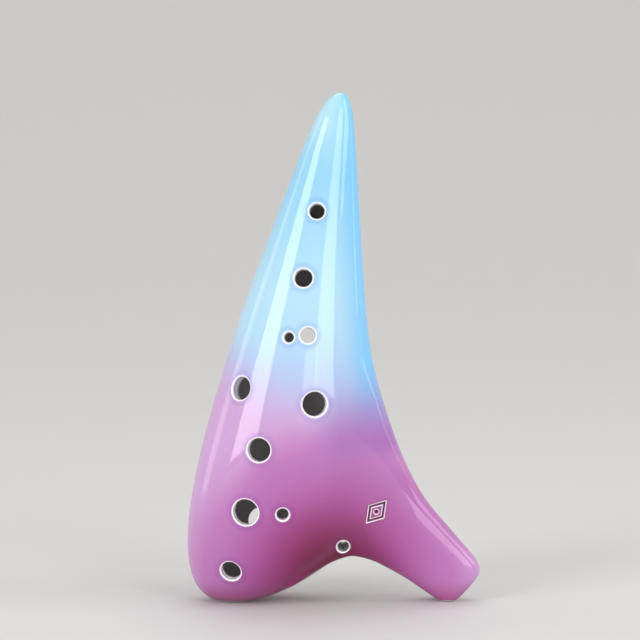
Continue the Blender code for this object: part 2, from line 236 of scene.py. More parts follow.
def fair_body():
    """Smooth curves of height through the body's sections: size, centre and roundness."""
    height, centre, width, depth = BODY_SECTIONS.T
    ends = (BODY_TOP - height) * (height - BODY_BOTTOM)
    return (
        Polynomial.fit(height, np.log(width**2 / ends), 6),
        Polynomial.fit(height, centre, 6),
        Polynomial.fit(height, depth / width, 4),
    )


BODY_SIZE, BODY_CENTRE, BODY_ROUNDNESS = fair_body()


def body_field(x, y, z):
    height = np.clip(z, BODY_BOTTOM - BODY_MARGIN, BODY_TOP + BODY_MARGIN)
    width_squared = (BODY_TOP - z) * (z - BODY_BOTTOM) * np.exp(BODY_SIZE(height))
    from_axis = (x - BODY_CENTRE(height)) ** 2 + (y / BODY_ROUNDNESS(height)) ** 2
    steepness = 2 * np.sqrt(np.maximum(width_squared, 0) + BODY_SOFTNESS**2)
    return (from_axis - width_squared) / steepness


def beak_field(x, y, z):
    along, across = beak_coordinates(x, z)
    grown = np.maximum(along, BEAK_GROWS_FROM)
    half_width = BEAK_HALF_WIDTH + BEAK_WIDENING * grown
    half_depth = BEAK_HALF_DEPTH + np.where(y < 0, *BEAK_DEEPENING) * grown
    power = BEAK_SQUARENESS
    ring = np.abs((across - BEAK_OFFSET) / half_width) ** power + np.abs(y / half_depth) ** power
    tube = (ring ** (1 / power) - 1) * half_width
    ended = smooth_max(tube, -along, BEAK_END_ROUND)
    return smooth_max(ended, along - BEAK_REACH, BEAK_END_ROUND)


def vessel_field(x, y, z):
    """The body and the beak, with a large fillet above the beak and a tight one below."""
    upper = ease(*FILLET_TURN, beak_coordinates(x, z)[1])
    fillet = FILLET_BELOW_BEAK + (FILLET_ABOVE_BEAK - FILLET_BELOW_BEAK) * upper
    fillet = fillet * (1 - FILLET_THINNING * np.clip(np.abs(y) / FILLET_DEPTH, 0, 1) ** 2)
    return smooth_min(body_field(x, y, z), beak_field(x, y, z), fillet)


def web_field(x, y, z):
    crown_x, crown_z = WEB_CROWN
    fall = np.where(x < crown_x, *WEB_SLOPES) * (x - crown_x)
    edge = crown_z + WEB_CURVE - np.sqrt(fall**2 + WEB_CURVE**2)
    above = (z - edge) / WEB_STEEPNESS
    half = WEB_HALF_EDGE + WEB_THICKENING * smooth_min(above, WEB_THICKENED, WEB_THICKENING_EASE)
    taper_from, taper = WEB_TAPER
    half = half - WEB_LEAN * (x - crown_x)
    half = half - taper * smooth_max(x - taper_from, 0, WEB_TAPER_EASE)
    half = half - WEB_END_TAPER * smooth_max(WEB_END - x, 0, WEB_TAPER_EASE)
    (middle_x, middle_z), reach = WEB_REACH
    away = np.hypot(x - middle_x, z - middle_z) - reach
    return smooth_max(smooth_max(np.abs(y) - half, -above, WEB_ROUND), away, WEB_FADE)


def outer_field(x, y, z):
    sharp, soft = WEB_CREASES
    crease = sharp + (soft - sharp) * ease(*WEB_CREASE_TURN, x)
    return smooth_min(vessel_field(x, y, z), web_field(x, y, z), crease)


def notch_field(x, z):
    """Negative in the notch that the web fills, under the two lines from the notch's apex."""
    apex_x, apex_z = beak_point(JOINT_ALONG, NOTCH_ACROSS)
    sides = []
    for (run_x, run_z), turn in ((NOTCH_LEFT, 1), (NOTCH_RIGHT, -1)):
        length = math.hypot(run_x, run_z)
        sides.append(turn * ((x - apex_x) * run_z - (z - apex_z) * run_x) / length)
    return np.maximum(*sides)


def chamber_field(x, y, z):
    """The hollow: the body's own form inside its wall, and a throat that ends at the beak's joint."""
    along = beak_coordinates(x, z)[0]
    throat = smooth_max(vessel_field(x, y, z) + WALL, JOINT_ALONG - along, CHAMBER_ROUND)
    hollow = smooth_min(body_field(x, y, z) + WALL, throat, CHAMBER_ROUND)
    return smooth_max(hollow, NOTCH_WALL - notch_field(x, z), CHAMBER_ROUND)


def windway_field(x, y, z):
    """The slot that the breath goes through, from the beak's tip to the window."""
    along, across = beak_coordinates(x, z)
    share = along / JOINT_ALONG
    floor = WINDWAY_FLOOR_IN + (WINDWAY_FLOOR_OUT - WINDWAY_FLOOR_IN) * share
    height = WINDWAY_HEIGHT_IN + (WINDWAY_HEIGHT_OUT - WINDWAY_HEIGHT_IN) * share
    half = (WINDWAY_WIDTH_IN + (WINDWAY_WIDTH_OUT - WINDWAY_WIDTH_IN) * share) / 2
    layer = np.abs(y - floor - height / 2) - height / 2
    slot = smooth_max(layer, np.abs(across) - half, WINDWAY_ROUND)
    return np.maximum(slot, along - JOINT_ALONG - WINDWAY_OVERRUN)


def window_field(x, y, z):
    """The window over the end of the windway, and the ramp that rises from the sounding edge."""
    along, across = beak_coordinates(x, z)
    edge = JOINT_ALONG + WINDOW_LENGTH
    sides = np.abs(across) - WINDWAY_WIDTH_OUT / 2
    window = np.maximum(np.maximum(JOINT_ALONG - along, along - edge), WINDOW_FLOOR - y)
    rise = (EDGE_DEPTH + RAMP_SLOPE * (along - edge) - y) / math.hypot(1, RAMP_SLOPE)
    ramp = np.maximum(edge - RAMP_LEAD - along, rise)
    return np.maximum(np.minimum(window, ramp), sides)


def surface_depth(x, z, side):
    """The Y of the outer surface at X and Z, on the finger side (-1) or the thumb side (1)."""
    inside, outside = 0.0, DEPTH_REACH
    for _ in range(HALVINGS):
        middle = (inside + outside) / 2
        if outer_field(np.float64(x), side * middle, np.float64(z)) < 0:
            inside = middle
        else:
            outside = middle
    return side * inside


def slope_of(field, points, step=0.05):
    """The field's gradient at each point."""
    columns = []
    for axis in range(3):
        shift = np.zeros(3)
        shift[axis] = step
        ahead, behind = field(*(points + shift).T), field(*(points - shift).T)
        columns.append((ahead - behind) / (2 * step))
    return np.stack(columns, axis=1)


def bored_holes():
    """Each hole's centre on the surface, its axis, its radius and how far it is cut to either side."""
    holes = []
    for table, side in ((FINGER_HOLES, -1), (THUMB_HOLES, 1)):
        for x, z, diameter in table:
            centre = np.array([[x, surface_depth(x, z, side), z]])
            axis = slope_of(outer_field, centre)[0]
            holes.append((centre[0], axis / np.linalg.norm(axis), diameter / 2, HOLE_REACH))
    x, z, diameter = STRAP_HOLE
    holes.append((np.array([x, 0.0, z]), np.array([0.0, 1.0, 0.0]), diameter / 2, STRAP_REACH))
    return holes


HOLES = bored_holes()


def from_axis(hole, x, y, z):
    """Distances from a hole's axis and along it."""
    (cx, cy, cz), (ax, ay, az), _, _ = hole
    dx, dy, dz = x - cx, y - cy, z - cz
    level = dx * ax + dy * ay + dz * az
    squared = dx**2 + dy**2 + dz**2 - level**2
    return np.sqrt(np.maximum(squared, 1e-9)), np.abs(level)


def rim_distance(x, y, z):
    """How far outside the nearest hole's wall a point lies."""
    nearest = 1e3
    for hole in HOLES:
        away, level = from_axis(hole, x, y, z)
        nearest = np.minimum(nearest, np.maximum(away - hole[2], level - hole[3] + 1))
    return nearest


def stamp_distance(x, y, z):
    """Distance in the surface from the stamp's nearest stroke, on the finger side."""
    along, across = beak_coordinates(x, z)
    along = along - STAMP_ALONG
    length = math.hypot(STAMP_HALF_LENGTH, STAMP_HALF_HEIGHT)
    sum_of_shares = np.abs(across) / STAMP_HALF_LENGTH + np.abs(along) / STAMP_HALF_HEIGHT
    outline = np.abs(sum_of_shares - 1) * STAMP_HALF_LENGTH * STAMP_HALF_HEIGHT / length
    dot = np.maximum(np.hypot(along, across) - STAMP_DOT, 0)
    return np.where(y < 0, np.minimum(outline, dot), 50.0)


def clay_field(x, y, z):
    """All of the fired clay."""
    clay = smooth_max(outer_field(x, y, z), -z, FOOT_ROUND)
    clay = smooth_max(clay, -chamber_field(x, y, z), EDGE_ROUND)
    clay = smooth_max(clay, -windway_field(x, y, z), EDGE_ROUND)
    clay = smooth_max(clay, -window_field(x, y, z), EDGE_ROUND)
    for hole in HOLES:
        away, level = from_axis(hole, x, y, z)
        clay = smooth_max(clay, np.minimum(hole[2] - away, hole[3] - level), RIM_ROUND)
    share = np.clip(1 - (stamp_distance(x, y, z) / (2 * STAMP_STROKE)) ** 2, 0, 1)
    return clay + STAMP_DEPTH * share**2


# ---------------------------------------------------------------- from the fields to a mesh


def surface_net(field, low, high, step):
    """Points and four-sided faces of the surface where the field is zero, one point per grid cube."""
    counts = np.ceil((np.array(high) - low) / step).astype(int) + 1
    lines = [(low[i] + step * np.arange(counts[i])).astype(np.float32) for i in range(3)]
    value = field(*np.meshgrid(*lines, indexing="ij", sparse=True))
    strides = np.array([counts[1] * counts[2], counts[2], 1])
    faces, crossings = [], []
    for axis in range(3):
        start = [slice(None)] * 3
        start[axis] = slice(0, -1)
        end = [slice(None)] * 3
        end[axis] = slice(1, None)
        first, second = value[tuple(start)], value[tuple(end)]
        where = np.argwhere((first < 0) != (second < 0))
        before, after = first[tuple(where.T)], second[tuple(where.T)]
        point = np.array(low) + step * where
        point[:, axis] += step * before / (before - after)
        cell = where @ strides
        u, v = strides[(axis + 1) % 3], strides[(axis + 2) % 3]
        around = np.stack([cell - u - v, cell - v, cell, cell - u], axis=1)
        crossings.append(np.repeat(point, 4, axis=0))
        faces.append(np.where((before < 0)[:, None], around, around[:, ::-1]))
    faces, crossings = np.concatenate(faces), np.concatenate(crossings)
    # The four cubes of a crossing come in either order, but they share its point.
    _, number = np.unique(faces.ravel(), return_inverse=True)
    share = np.bincount(number)
    points = np.stack([np.bincount(number, crossings[:, i]) / share for i in range(3)], axis=1)
    return points, number.reshape(-1, 4)


def settle(points, reach, times=4):
    """The points, moved onto the clay's surface."""
    for _ in range(times):
        gradient = slope_of(clay_field, points)
        steepness = np.maximum((gradient**2).sum(axis=1), 0.05)
        move = clay_field(*points.T)[:, None] * gradient / steepness[:, None]
        points = points - np.clip(move, -reach, reach)
    return points


def make_clay():
    """A fine mesh of all the clay, with smaller faces at the rims, the windway and the stamp."""
    low = np.array(cad_low) / MM - MESH_MARGIN
    high = np.array(cad_high) / MM + MESH_MARGIN
    points, faces = surface_net(clay_field, low, high, MESH_STEP)
    points = settle(points, MESH_STEP / 2)
    mesh = bpy.data.meshes.new("clay")
    mesh.from_pydata(points.tolist(), [], faces.tolist())
    build = bmesh.new()
    build.from_mesh(mesh)
    for level in (1, 2):
        corners = np.array([corner.co for corner in build.verts])
        x, y, z = corners.T
        near = stamp_distance(x, y, z) < FINE_STAMP / level
        if level == 1:
            rim_at, rim_reach = FINE_RIM
            near |= np.abs(rim_distance(x, y, z) - rim_at) < rim_reach
            near |= np.abs(windway_field(x, y, z)) < FINE_SLOT
            near |= np.abs(window_field(x, y, z)) < FINE_SLOT
        near &= np.abs(outer_field(x, y, z)) < FINE_DEPTH
        build.verts.index_update()
        edges = [e for e in build.edges if near[e.verts[0].index] and near[e.verts[1].index]]
        bmesh.ops.subdivide_edges(build, edges=edges, cuts=1, use_grid_fill=True)
    corners = np.array([corner.co for corner in build.verts])
    corners = settle(corners, MESH_STEP / 4, 3) * MM
    bmesh.ops.recalc_face_normals(build, faces=build.faces)
    bmesh.ops.triangulate(build, faces=[face for face in build.faces if len(face.verts) > 4])
    build.to_mesh(mesh)
    build.free()
    mesh.vertices.foreach_set("co", corners.astype(np.float32).ravel())
    mesh.update()
    clay = bpy.data.objects.new("clay", mesh)
    bpy.context.scene.collection.objects.link(clay)
    return clay


# ---------------------------------------------------------------- the members


def prism(name, outline, place):
    """A closed prism on a flat outline. place gives the point at each end of an edge of it."""
    ends = [[place(u, v, end) for u, v in outline] for end in (0, 1)]
    count = len(outline)
    sides = [(i, (i + 1) % count, (i + 1) % count + count, i + count) for i in range(count)]
    caps = [tuple(range(count))[::-1], tuple(range(count, 2 * count))]
    mesh = bpy.data.meshes.new(name)
    mesh.from_pydata((np.array(ends[0] + ends[1]) * MM).tolist(), [], sides + caps)
    build = bmesh.new()
    build.from_mesh(mesh)
    bmesh.ops.recalc_face_normals(build, faces=build.faces)
    bmesh.ops.triangulate(build, faces=build.faces)
    build.to_mesh(mesh)
    build.free()
    piece = bpy.data.objects.new(name, mesh)
    bpy.context.scene.collection.objects.link(piece)
    return piece


def plan_prism(name, outline, depths=(-TOOL_DEPTH, TOOL_DEPTH)):
    """A prism on an outline in X and Z, between two depths."""
    return prism(name, outline, lambda x, z, end: (x, depths[end], z))


def beak_prism(name, outline, depths=(-TOOL_DEPTH, TOOL_DEPTH)):
    """A prism on an outline along and across the beak, between two depths."""

    def place(along, across, end):
        x, z = beak_point(along, across)
        return x, depths[end], z

    return prism(name, outline, place)


def profile_prism(name, outline, across):
    """A prism on an outline along the beak and in depth, between two places across it."""

    def place(along, depth, end):
        x, z = beak_point(along, across[end])
        return x, depth, z

    return prism(name, outline, place)


def drop_slivers(mesh):
    """Leaves only the largest connected part, without the film that cutting leaves at the joints."""
    build = bmesh.new()
    build.from_mesh(mesh)
    bmesh.ops.remove_doubles(build, verts=build.verts, dist=SLIVER * MM)
    bmesh.ops.dissolve_degenerate(build, edges=build.edges, dist=SLIVER * MM)
    build.faces.index_update()
    seen, parts = set(), []
    for start in build.faces:
        if start.index in seen:
            continue
        seen.add(start.index)
        part = [start]
        for face in part:
            near = [e.link_faces for e in face.edges if len(e.link_faces) == 2]
            for other in [other for pair in near for other in pair]:
                if other.index not in seen:
                    seen.add(other.index)
                    part.append(other)
        parts.append(part)
    parts.sort(key=len)
    loose = [face for part in parts[:-1] for face in part]
    bmesh.ops.delete(build, geom=loose, context="FACES")
    build.to_mesh(mesh)
    build.free()


def carve(name, clay, steps):
    """A member: the clay, kept inside or cut away by one tool after another."""
    piece = bpy.data.objects.new(name, clay.data.copy())
    bpy.context.scene.collection.objects.link(piece)
    for operation, tool in steps:
        modifier = piece.modifiers.new(tool.name, "BOOLEAN")
        modifier.operation = operation
        modifier.solver = "MANIFOLD"
        modifier.object = tool
    graph = bpy.context.evaluated_depsgraph_get()
    mesh = bpy.data.meshes.new_from_object(piece.evaluated_get(graph), depsgraph=graph)
    mesh.name = name
    mesh.validate()
    drop_slivers(mesh)
    piece.modifiers.clear()
    piece.data = mesh
    return piece


def make_members(clay):
    """The eight members, cut from the clay along their joints with no gap between them."""
    apex = beak_point(JOINT_ALONG, NOTCH_ACROSS)
    above = beak_point(JOINT_ALONG, JOINT_ABOVE)
    left, right = [
        (apex[0] + run * notch[0], apex[1] + run * notch[1])
        for run, notch in zip(NOTCH_RUNS, (NOTCH_LEFT, NOTCH_RIGHT))
    ]
    beyond = [(TOOL_SIDE, above[1]), (TOOL_SIDE, right[1])]
    beak_zone = plan_prism("beak_zone", [apex, above, *beyond, right])
    web_zone = plan_prism("web_zone", [apex, left, (left[0], right[1]), right])
    bottom, top = TOOL_HEIGHTS
    whole = [(-TOOL_SIDE, bottom), (TOOL_SIDE, bottom), (TOOL_SIDE, top), (-TOOL_SIDE, top)]
    front = plan_prism("front_zone", whole, (-TOOL_DEPTH, 0))
    back = plan_prism("back_zone", whole, (0, TOOL_DEPTH))

    near, far = -TOOL_MARGIN, JOINT_ALONG + TOOL_MARGIN

    def windway_edge(along, raised):
        share = along / JOINT_ALONG
        floor = WINDWAY_FLOOR_IN + (WINDWAY_FLOOR_OUT - WINDWAY_FLOOR_IN) * share
        height = WINDWAY_HEIGHT_IN + (WINDWAY_HEIGHT_OUT - WINDWAY_HEIGHT_IN) * share
        return along, floor + raised * height

    floors = [windway_edge(near, 0), windway_edge(far, 0)]
    roofs = [windway_edge(far, 1), windway_edge(near, 1)]
    below = [(far, -TOOL_DEPTH), (near, -TOOL_DEPTH)]
    behind = [(near, TOOL_DEPTH), (far, TOOL_DEPTH)]
    sides = (-TOOL_ACROSS, TOOL_ACROSS)
    under = profile_prism("under_floor", floors + below, sides)
    over = profile_prism("over_roof", roofs + behind, sides)
    between = profile_prism("between", floors + roofs, sides)
    middle = [(near, 0), (far, 0)]
    upper = beak_prism("upper_side", middle + [(far, TOOL_ACROSS), (near, TOOL_ACROSS)])
    lower = beak_prism("lower_side", middle + [(far, -TOOL_ACROSS), (near, -TOOL_ACROSS)])

    edge = JOINT_ALONG + WINDOW_LENGTH
    start, end = edge - PLATE_LEAD, edge + PLATE_LENGTH
    half = PLATE_WIDTH / 2
    seat = [(start, -half), (end, -half), (end, half), (start, half)]
    plate = beak_prism("plate_seat", seat, (PLATE_FROM, TOOL_DEPTH))

    inside, away = "INTERSECT", "DIFFERENCE"
    in_beak = [(inside, beak_zone), (away, web_zone)]
    steps = {
        "front_shell": [(inside, front), (away, beak_zone), (away, web_zone)],
        "back_shell": [(inside, back), (away, beak_zone), (away, web_zone), (away, plate)],
        "beak_floor": [*in_beak, (inside, under)],
        "beak_roof": [*in_beak, (inside, over)],
        "windway_wall_upper": [*in_beak, (inside, between), (inside, upper)],
        "windway_wall_lower": [*in_beak, (inside, between), (inside, lower)],
        "labium_plate": [(inside, plate)],
        "cord_web": [(inside, web_zone)],
    }
    members = {name: carve(name + "_glazed", clay, cuts) for name, cuts in steps.items()}
    for tool in (beak_zone, web_zone, front, back, under, over, between, upper, lower, plate, clay):
        bpy.data.objects.remove(tool)
    return members


def dress(piece, material):
    """Smooth normals from the clay's own slope, and what the glaze needs to know at each point."""
    mesh = piece.data
    mesh.materials.clear()
    mesh.materials.append(material)
    mesh.polygons.foreach_set("material_index", np.zeros(len(mesh.polygons), np.int32))
    mesh.polygons.foreach_set("use_smooth", np.ones(len(mesh.polygons), bool))
    points = np.empty(len(mesh.vertices) * 3)
    mesh.vertices.foreach_get("co", points)
    points = points.reshape(-1, 3) / MM
    slopes = slope_of(clay_field, points)
    slopes /= np.maximum(np.linalg.norm(slopes, axis=1, keepdims=True), 1e-6)
    corners = np.empty(len(mesh.loops), np.int32)
    mesh.loops.foreach_get("vertex_index", corners)
    flat = np.empty(len(mesh.polygons) * 3)
    mesh.polygons.foreach_get("normal", flat)
    sizes = np.empty(len(mesh.polygons), np.int32)
    mesh.polygons.foreach_get("loop_total", sizes)
    flat = np.repeat(flat.reshape(-1, 3), sizes, axis=0)
    smooth = slopes[corners]
    on_surface = (flat * smooth).sum(axis=1) > 0.5
    mesh.normals_split_custom_set(np.where(on_surface[:, None], smooth, flat).tolist())
    x, y, z = points.T
    vessel, web = vessel_field(x, y, z), web_field(x, y, z)
    values = {
        "below_surface": -outer_field(x, y, z),
        "from_rim": rim_distance(x, y, z),
        "from_stamp": stamp_distance(x, y, z),
        "from_slot": np.minimum(windway_field(x, y, z), window_field(x, y, z)),
        "in_crease": np.clip(1 - np.abs(vessel - web) / CREASE_WIDTH, 0, 1) * ease(*CREASE_ENDS, x),
    }
    for name, value in values.items():
        attribute = mesh.attributes.new(name, "FLOAT", "POINT")
        attribute.data.foreach_set("value", value.astype(np.float32))


# ---------------------------------------------------------------- materials


class Nodes:
    """A material's node tree, with one short call for each kind of node."""

    def __init__(self, name):
        self.material = bpy.data.materials.new(name)
        self.material.use_nodes = True
        self.tree = self.material.node_tree
        self.shader = self.tree.nodes["Principled BSDF"]

    def node(self, kind, inputs=(), **settings):
        made = self.tree.nodes.new(kind)
        for key, value in settings.items():
            setattr(made, key, value)
        for key, value in dict(inputs).items():
            if isinstance(value, bpy.types.NodeSocket):
                self.tree.links.new(value, made.inputs[key])
            else:
                made.inputs[key].default_value = value
        return made

    def attribute(self, name):
        return self.node("ShaderNodeAttribute", attribute_name=name).outputs["Fac"]

    def maths(self, operation, a, b=0.0):
        return self.node("ShaderNodeMath", {0: a, 1: b}, operation=operation).outputs[0]

    def ramp(self, value, stops):
        """Colours by value, straight from each stop to the next."""
        low, high = stops[0][0], stops[-1][0]
        share = self.maths("DIVIDE", self.maths("SUBTRACT", value, low), high - low)
        made = self.node("ShaderNodeValToRGB", {"Fac": share})
        while len(made.color_ramp.elements) < len(stops):
            made.color_ramp.elements.new(1.0)
        for element, (place, colour) in zip(made.color_ramp.elements, stops):
            element.position = (place - low) / (high - low)
            element.color = (*colour, 1)
        return made.outputs["Color"]

    def noise(self, place, scale, detail):
        return self.node(
            "ShaderNodeTexNoise", {"Vector": place, "Scale": scale, "Detail": detail}
        ).outputs["Fac"]

    def between(self, value, low, high):
        """0 where the value is at low or past it, 1 at high, and smooth between them."""
        made = self.node(
            "ShaderNodeMapRange",
            {"Value": value, "From Min": low, "From Max": high},
            interpolation_type="SMOOTHSTEP",
        )
        return made.outputs["Result"]

    def mix(self, share, a, b, blend="MIX"):
        made = self.node("ShaderNodeMix", data_type="RGBA", blend_type=blend)
        for index, value in ((0, share), (6, a), (7, b)):
            if isinstance(value, bpy.types.NodeSocket):
                self.tree.links.new(value, made.inputs[index])
            elif index:
                made.inputs[index].default_value = (*value, 1)
            else:
                made.inputs[index].default_value = value
        return made.outputs[2]


# The blue glaze's colour by height, from where it meets the purple up to the tip.
BLUES = [
    (88, (0.40, 0.56, 0.80)),
    (100, (0.41, 0.635, 0.80)),
    (112, (0.41, 0.655, 0.80)),
    (124, (0.38, 0.64, 0.80)),
    (140, (0.32, 0.60, 0.79)),
    (156, (0.285, 0.575, 0.78)),
    (164, (0.31, 0.60, 0.78)),
    (172, (0.39, 0.65, 0.79)),
    (182, (0.42, 0.68, 0.79)),
]
# It is deeper towards the beak's side, from a line that leans with the body: this is painted shade on
# that side.
SHADED_SIDE_BLUE = (0.18, 0.54, 0.88)
SHADED_SIDE_TURN = (8.0, 20.0)
SHADED_SIDE_LEAN = -0.06
# The purple glaze's colour by distance from the crotch, darkest at the crotch: that darkening is
# painted shade.
CROTCH = (0.0, 12.0)
PURPLES_AND_SHADE = [
    (0, (0.10, 0.008, 0.03)),
    (9, (0.18, 0.010, 0.055)),
    (14, (0.235, 0.018, 0.105)),
    (22, (0.32, 0.05, 0.215)),
    (29, (0.385, 0.095, 0.32)),
    (37, (0.42, 0.135, 0.39)),
    (45, (0.455, 0.165, 0.43)),
    (50, (0.495, 0.225, 0.49)),
    (56, (0.54, 0.30, 0.56)),
    (64, (0.56, 0.34, 0.60)),
]
# Towards the foot it turns redder and darker: partly the glaze, and partly painted shade tinted by
# warm bounced light.
FOOT_SHADE_RED = (0.33, 0.04, 0.12)
FOOT_SHADE_TURN = (10.0, 0.0)
FOOT_SHADE_SHARE = 0.55
# A violet lies between the two on the beak's side.
VIOLET = (0.38, 0.15, 0.44)
VIOLET_TURNS = ((-12.0, 4.0), (50.0, 60.0))
# The two meet along a line that sags towards this X.
MEETING = (57.0, 91.0)
SAG_X, SAG_CURVE = 6.0, 0.008
# The colours stray from their places by up to half of this, in patches of 1 / DRIFT_SCALE metres.
DRIFT_SCALE, DRIFT_REACH = 22.0, 10.0

RING_TINT = (0.86, 0.85, 0.94)
# The colour of glaze that pools round the stamp, also used for the painted shade in the crease.
POOLED_GLAZE_AND_CREASE_SHADE = (0.20, 0.03, 0.12)
STROKE_GLAZE = (0.05, 0.010, 0.03)
THIN_GLAZE = (0.93, 0.88, 0.92)
BARE_CLAY = (0.84, 0.82, 0.82)
CLAY_GRAIN, GRAIN_SCALE = 0.85, 900.0
# Each pair is where a change begins and where it is full, in millimetres.
# Outside a hole's wall: the pooled ring's outer and inner side, and the thin glaze on the rim.
RING_OUTER, RING_INNER = (3.2, 1.3), (0.5, 1.2)
THIN_RIM = (0.75, 0.4)
# From the stamp's strokes: the pool round them, the strokes, and the pale line on either side.
STAMP_POOL, STAMP_POOL_SHARE = (2.2, 0.8), 0.2
DARK_STROKE = (0.38, 0.16)
PALE_OUTER, PALE_INNER, PALE_SHARE = (0.85, 0.65), (0.35, 0.5), 0.8
# From the windway or the window: the thin glaze on their edges.
THIN_SLOT = (0.7, 0.35)
# Painted shade in the crease between the web and the body: its width across it, where it ends along
# it, and its share.
CREASE_WIDTH, CREASE_ENDS, CREASE_SHARE = 1.4, (18.0, 8.0), 0.6
# Below the outer surface: where thin glaze ends and where bare clay begins. Above the foot: bare clay.
THIN_RIM_DEPTH, THIN_SLOT_DEPTH = (1.2, 0.6), (1.4, 0.8)
BARE_DEPTH = (1.2, 1.9)
BARE_FOOT = (0.9, 0.3)
# The gloss, and the ripples in it.
GLAZE_IOR = 1.52
GLOSS, GLOSS_SPREAD, BARE_ROUGHNESS = 0.035, 0.05, 0.6
FILM_SCALE, WAVE_SCALE, PEEL_SCALE, PEEL_SHARE = 60.0, 45.0, 420.0, 0.04
RIPPLE_HEIGHT = 0.00018


def glaze():
    n = Nodes("fading_glaze")
    place = n.node("ShaderNodeTexCoord").outputs["Object"]
    split = n.node("ShaderNodeSeparateXYZ", {0: place})
    drift = n.maths("SUBTRACT", n.noise(place, DRIFT_SCALE, 2.0), 0.5)
    strayed = n.maths("MULTIPLY", drift, DRIFT_REACH)
    across = n.maths("DIVIDE", split.outputs["X"], MM)
    height = n.maths("DIVIDE", split.outputs["Z"], MM)
    from_crotch = n.node(
        "ShaderNodeCombineXYZ",
        {
            "X": n.maths("SUBTRACT", across, CROTCH[0]),
            "Z": n.maths("SUBTRACT", height, CROTCH[1]),
        },
    )
    away = n.node("ShaderNodeVectorMath", {0: from_crotch.outputs[0]}, operation="LENGTH")
    # Painted shade: the purple darkens towards the crotch.
    purple = n.ramp(n.maths("ADD", away.outputs["Value"], strayed), PURPLES_AND_SHADE)
    violet = n.maths(
        "MULTIPLY", n.between(across, *VIOLET_TURNS[0]), n.between(height, *VIOLET_TURNS[1])
    )
    purple = n.mix(violet, purple, VIOLET)
    # Painted shade, redder and darker towards the foot, mixed with the glaze's own reddening.
    foot_shade = n.maths("MULTIPLY", n.between(height, *FOOT_SHADE_TURN), FOOT_SHADE_SHARE)
    purple = n.mix(foot_shade, purple, FOOT_SHADE_RED)
    blue = n.ramp(height, BLUES)
    # Painted shade: the blue deepens towards the beak's side.
    leaning = n.maths("SUBTRACT", across, n.maths("MULTIPLY", height, SHADED_SIDE_LEAN))
    blue = n.mix(n.between(leaning, *SHADED_SIDE_TURN), blue, SHADED_SIDE_BLUE)
    sag = n.maths("POWER", n.maths("SUBTRACT", across, SAG_X), 2.0)
    level = n.maths("SUBTRACT", height, n.maths("MULTIPLY", sag, SAG_CURVE))
    level = n.maths("ADD", level, strayed)
    colour = n.mix(n.between(level, *MEETING), purple, blue)

    below = n.attribute("below_surface")
    rim = n.attribute("from_rim")
    stamp = n.attribute("from_stamp")
    slot = n.attribute("from_slot")
    crease = n.attribute("in_crease")

    # Glaze pools in a faint ring round each hole and in the stamp's strokes; the crease gets painted
    # shade in the same dark colour.
    ring = n.maths("MULTIPLY", n.between(rim, *RING_OUTER), n.between(rim, *RING_INNER))
    colour = n.mix(ring, colour, RING_TINT, "MULTIPLY")
    pool_and_crease_shade = n.maths("MULTIPLY", n.between(stamp, *STAMP_POOL), STAMP_POOL_SHARE)
    # Painted shade along the crease between the web and the body.
    pool_and_crease_shade = n.maths("MAXIMUM", pool_and_crease_shade, n.maths("MULTIPLY", crease, CREASE_SHARE))
    colour = n.mix(pool_and_crease_shade, colour, POOLED_GLAZE_AND_CREASE_SHADE)
    colour = n.mix(n.between(stamp, *DARK_STROKE), colour, STROKE_GLAZE)

    # It runs thin over every sharp edge, where the pale clay shows through.
    at_rim = n.maths("MULTIPLY", n.between(rim, *THIN_RIM), n.between(below, *THIN_RIM_DEPTH))
    at_slot = n.maths("MULTIPLY", n.between(slot, *THIN_SLOT), n.between(below, *THIN_SLOT_DEPTH))
    at_stamp = n.maths("MULTIPLY", n.between(stamp, *PALE_OUTER), n.between(stamp, *PALE_INNER))
    at_stamp = n.maths("MULTIPLY", at_stamp, PALE_SHARE)
    thin = n.maths("MAXIMUM", n.maths("MAXIMUM", at_rim, at_slot), at_stamp)
    colour = n.mix(thin, colour, THIN_GLAZE)

    # The inside is never glazed, nor is the ring that the foot stands on.
    bare = n.maths("MAXIMUM", n.between(below, *BARE_DEPTH), n.between(height, *BARE_FOOT))
    grain = n.noise(place, GRAIN_SCALE, 3.0)
    clay = n.mix(grain, BARE_CLAY, tuple(c * CLAY_GRAIN for c in BARE_CLAY))
    colour = n.mix(bare, colour, clay)
    n.tree.links.new(colour, n.shader.inputs["Base Color"])

    film = n.noise(place, FILM_SCALE, 2.0)
    gloss = n.maths("ADD", n.maths("MULTIPLY", film, GLOSS_SPREAD), GLOSS)
    rough = n.maths("ADD", gloss, n.maths("MULTIPLY", bare, BARE_ROUGHNESS))
    n.tree.links.new(rough, n.shader.inputs["Roughness"])

    waves = n.noise(place, WAVE_SCALE, 1.0)
    peel = n.maths("MULTIPLY", n.noise(place, PEEL_SCALE, 1.0), PEEL_SHARE)
    heights = n.maths("ADD", waves, peel)
    bump = n.node("ShaderNodeBump", {"Height": heights, "Strength": 1.0, "Distance": RIPPLE_HEIGHT})
    n.tree.links.new(bump.outputs["Normal"], n.shader.inputs["Normal"])
    n.shader.inputs["IOR"].default_value = GLAZE_IOR
    return n.material


def pale_paint():
    n = Nodes("pale_floor")
    n.shader.inputs["Base Color"].default_value = (*FLOOR_COLOUR, 1)
    n.shader.inputs["Roughness"].default_value = FLOOR_ROUGHNESS
    return n.material


# ---------------------------------------------------------------- the studio

LIGHT_DISTANCE = 1.2
WORLD_STRENGTH = 0.68
